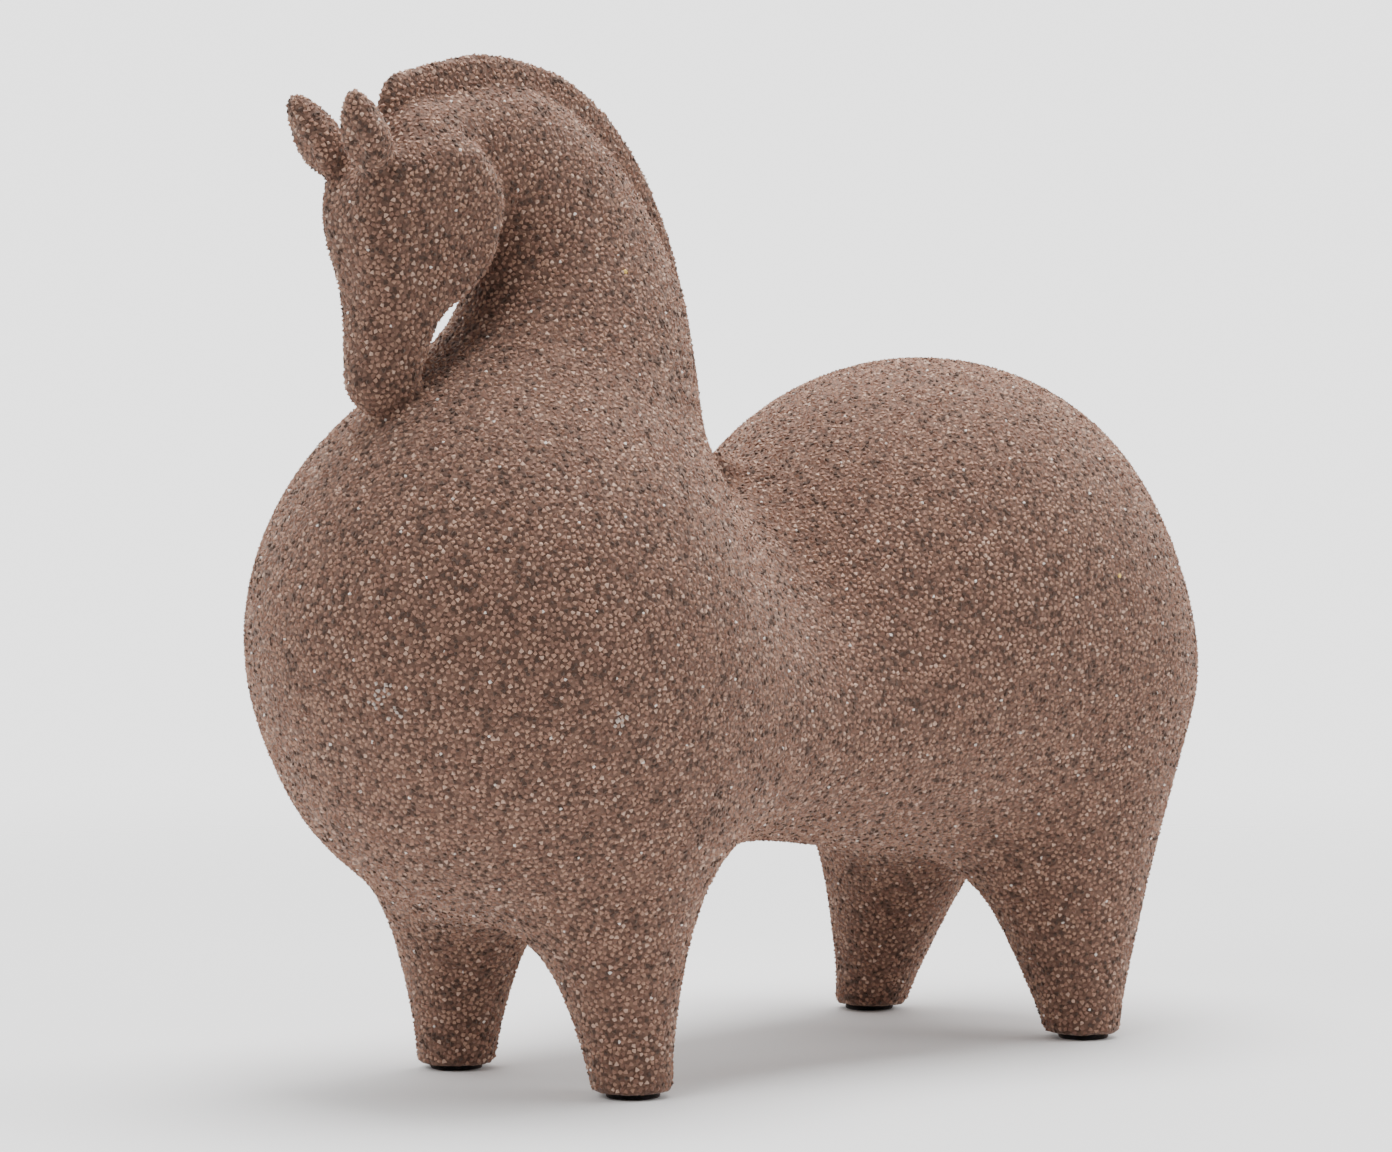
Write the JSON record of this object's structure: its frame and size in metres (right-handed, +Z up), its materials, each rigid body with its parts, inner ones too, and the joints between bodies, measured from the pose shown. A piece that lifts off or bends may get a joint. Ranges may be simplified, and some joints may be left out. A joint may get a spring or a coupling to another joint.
{
  "type": "horse figure",
  "caption": "Standing horse figure with round chest and rump, tucked head, thin mane fin and sand-coated skin, resting on felt pads.",
  "frame": {"origin": "middle of the figure's bounding box, at the underside of the felt pads", "axes": "+Z up; the horse looks along -Y and its left side is +X"},
  "size_m": [0.126, 0.2814, 0.2483],
  "materials": {
    "sand_coat": "coarse matte sand texture in brown, with light and dark grains",
    "black_felt": "matte felt"
  },
  "bodies": {
    "root": {"horse": "sand_coat", "pad_front_left": "black_felt", "pad_front_right": "black_felt", "pad_hind_left": "black_felt", "pad_hind_right": "black_felt"}
  },
  "joints": []
}
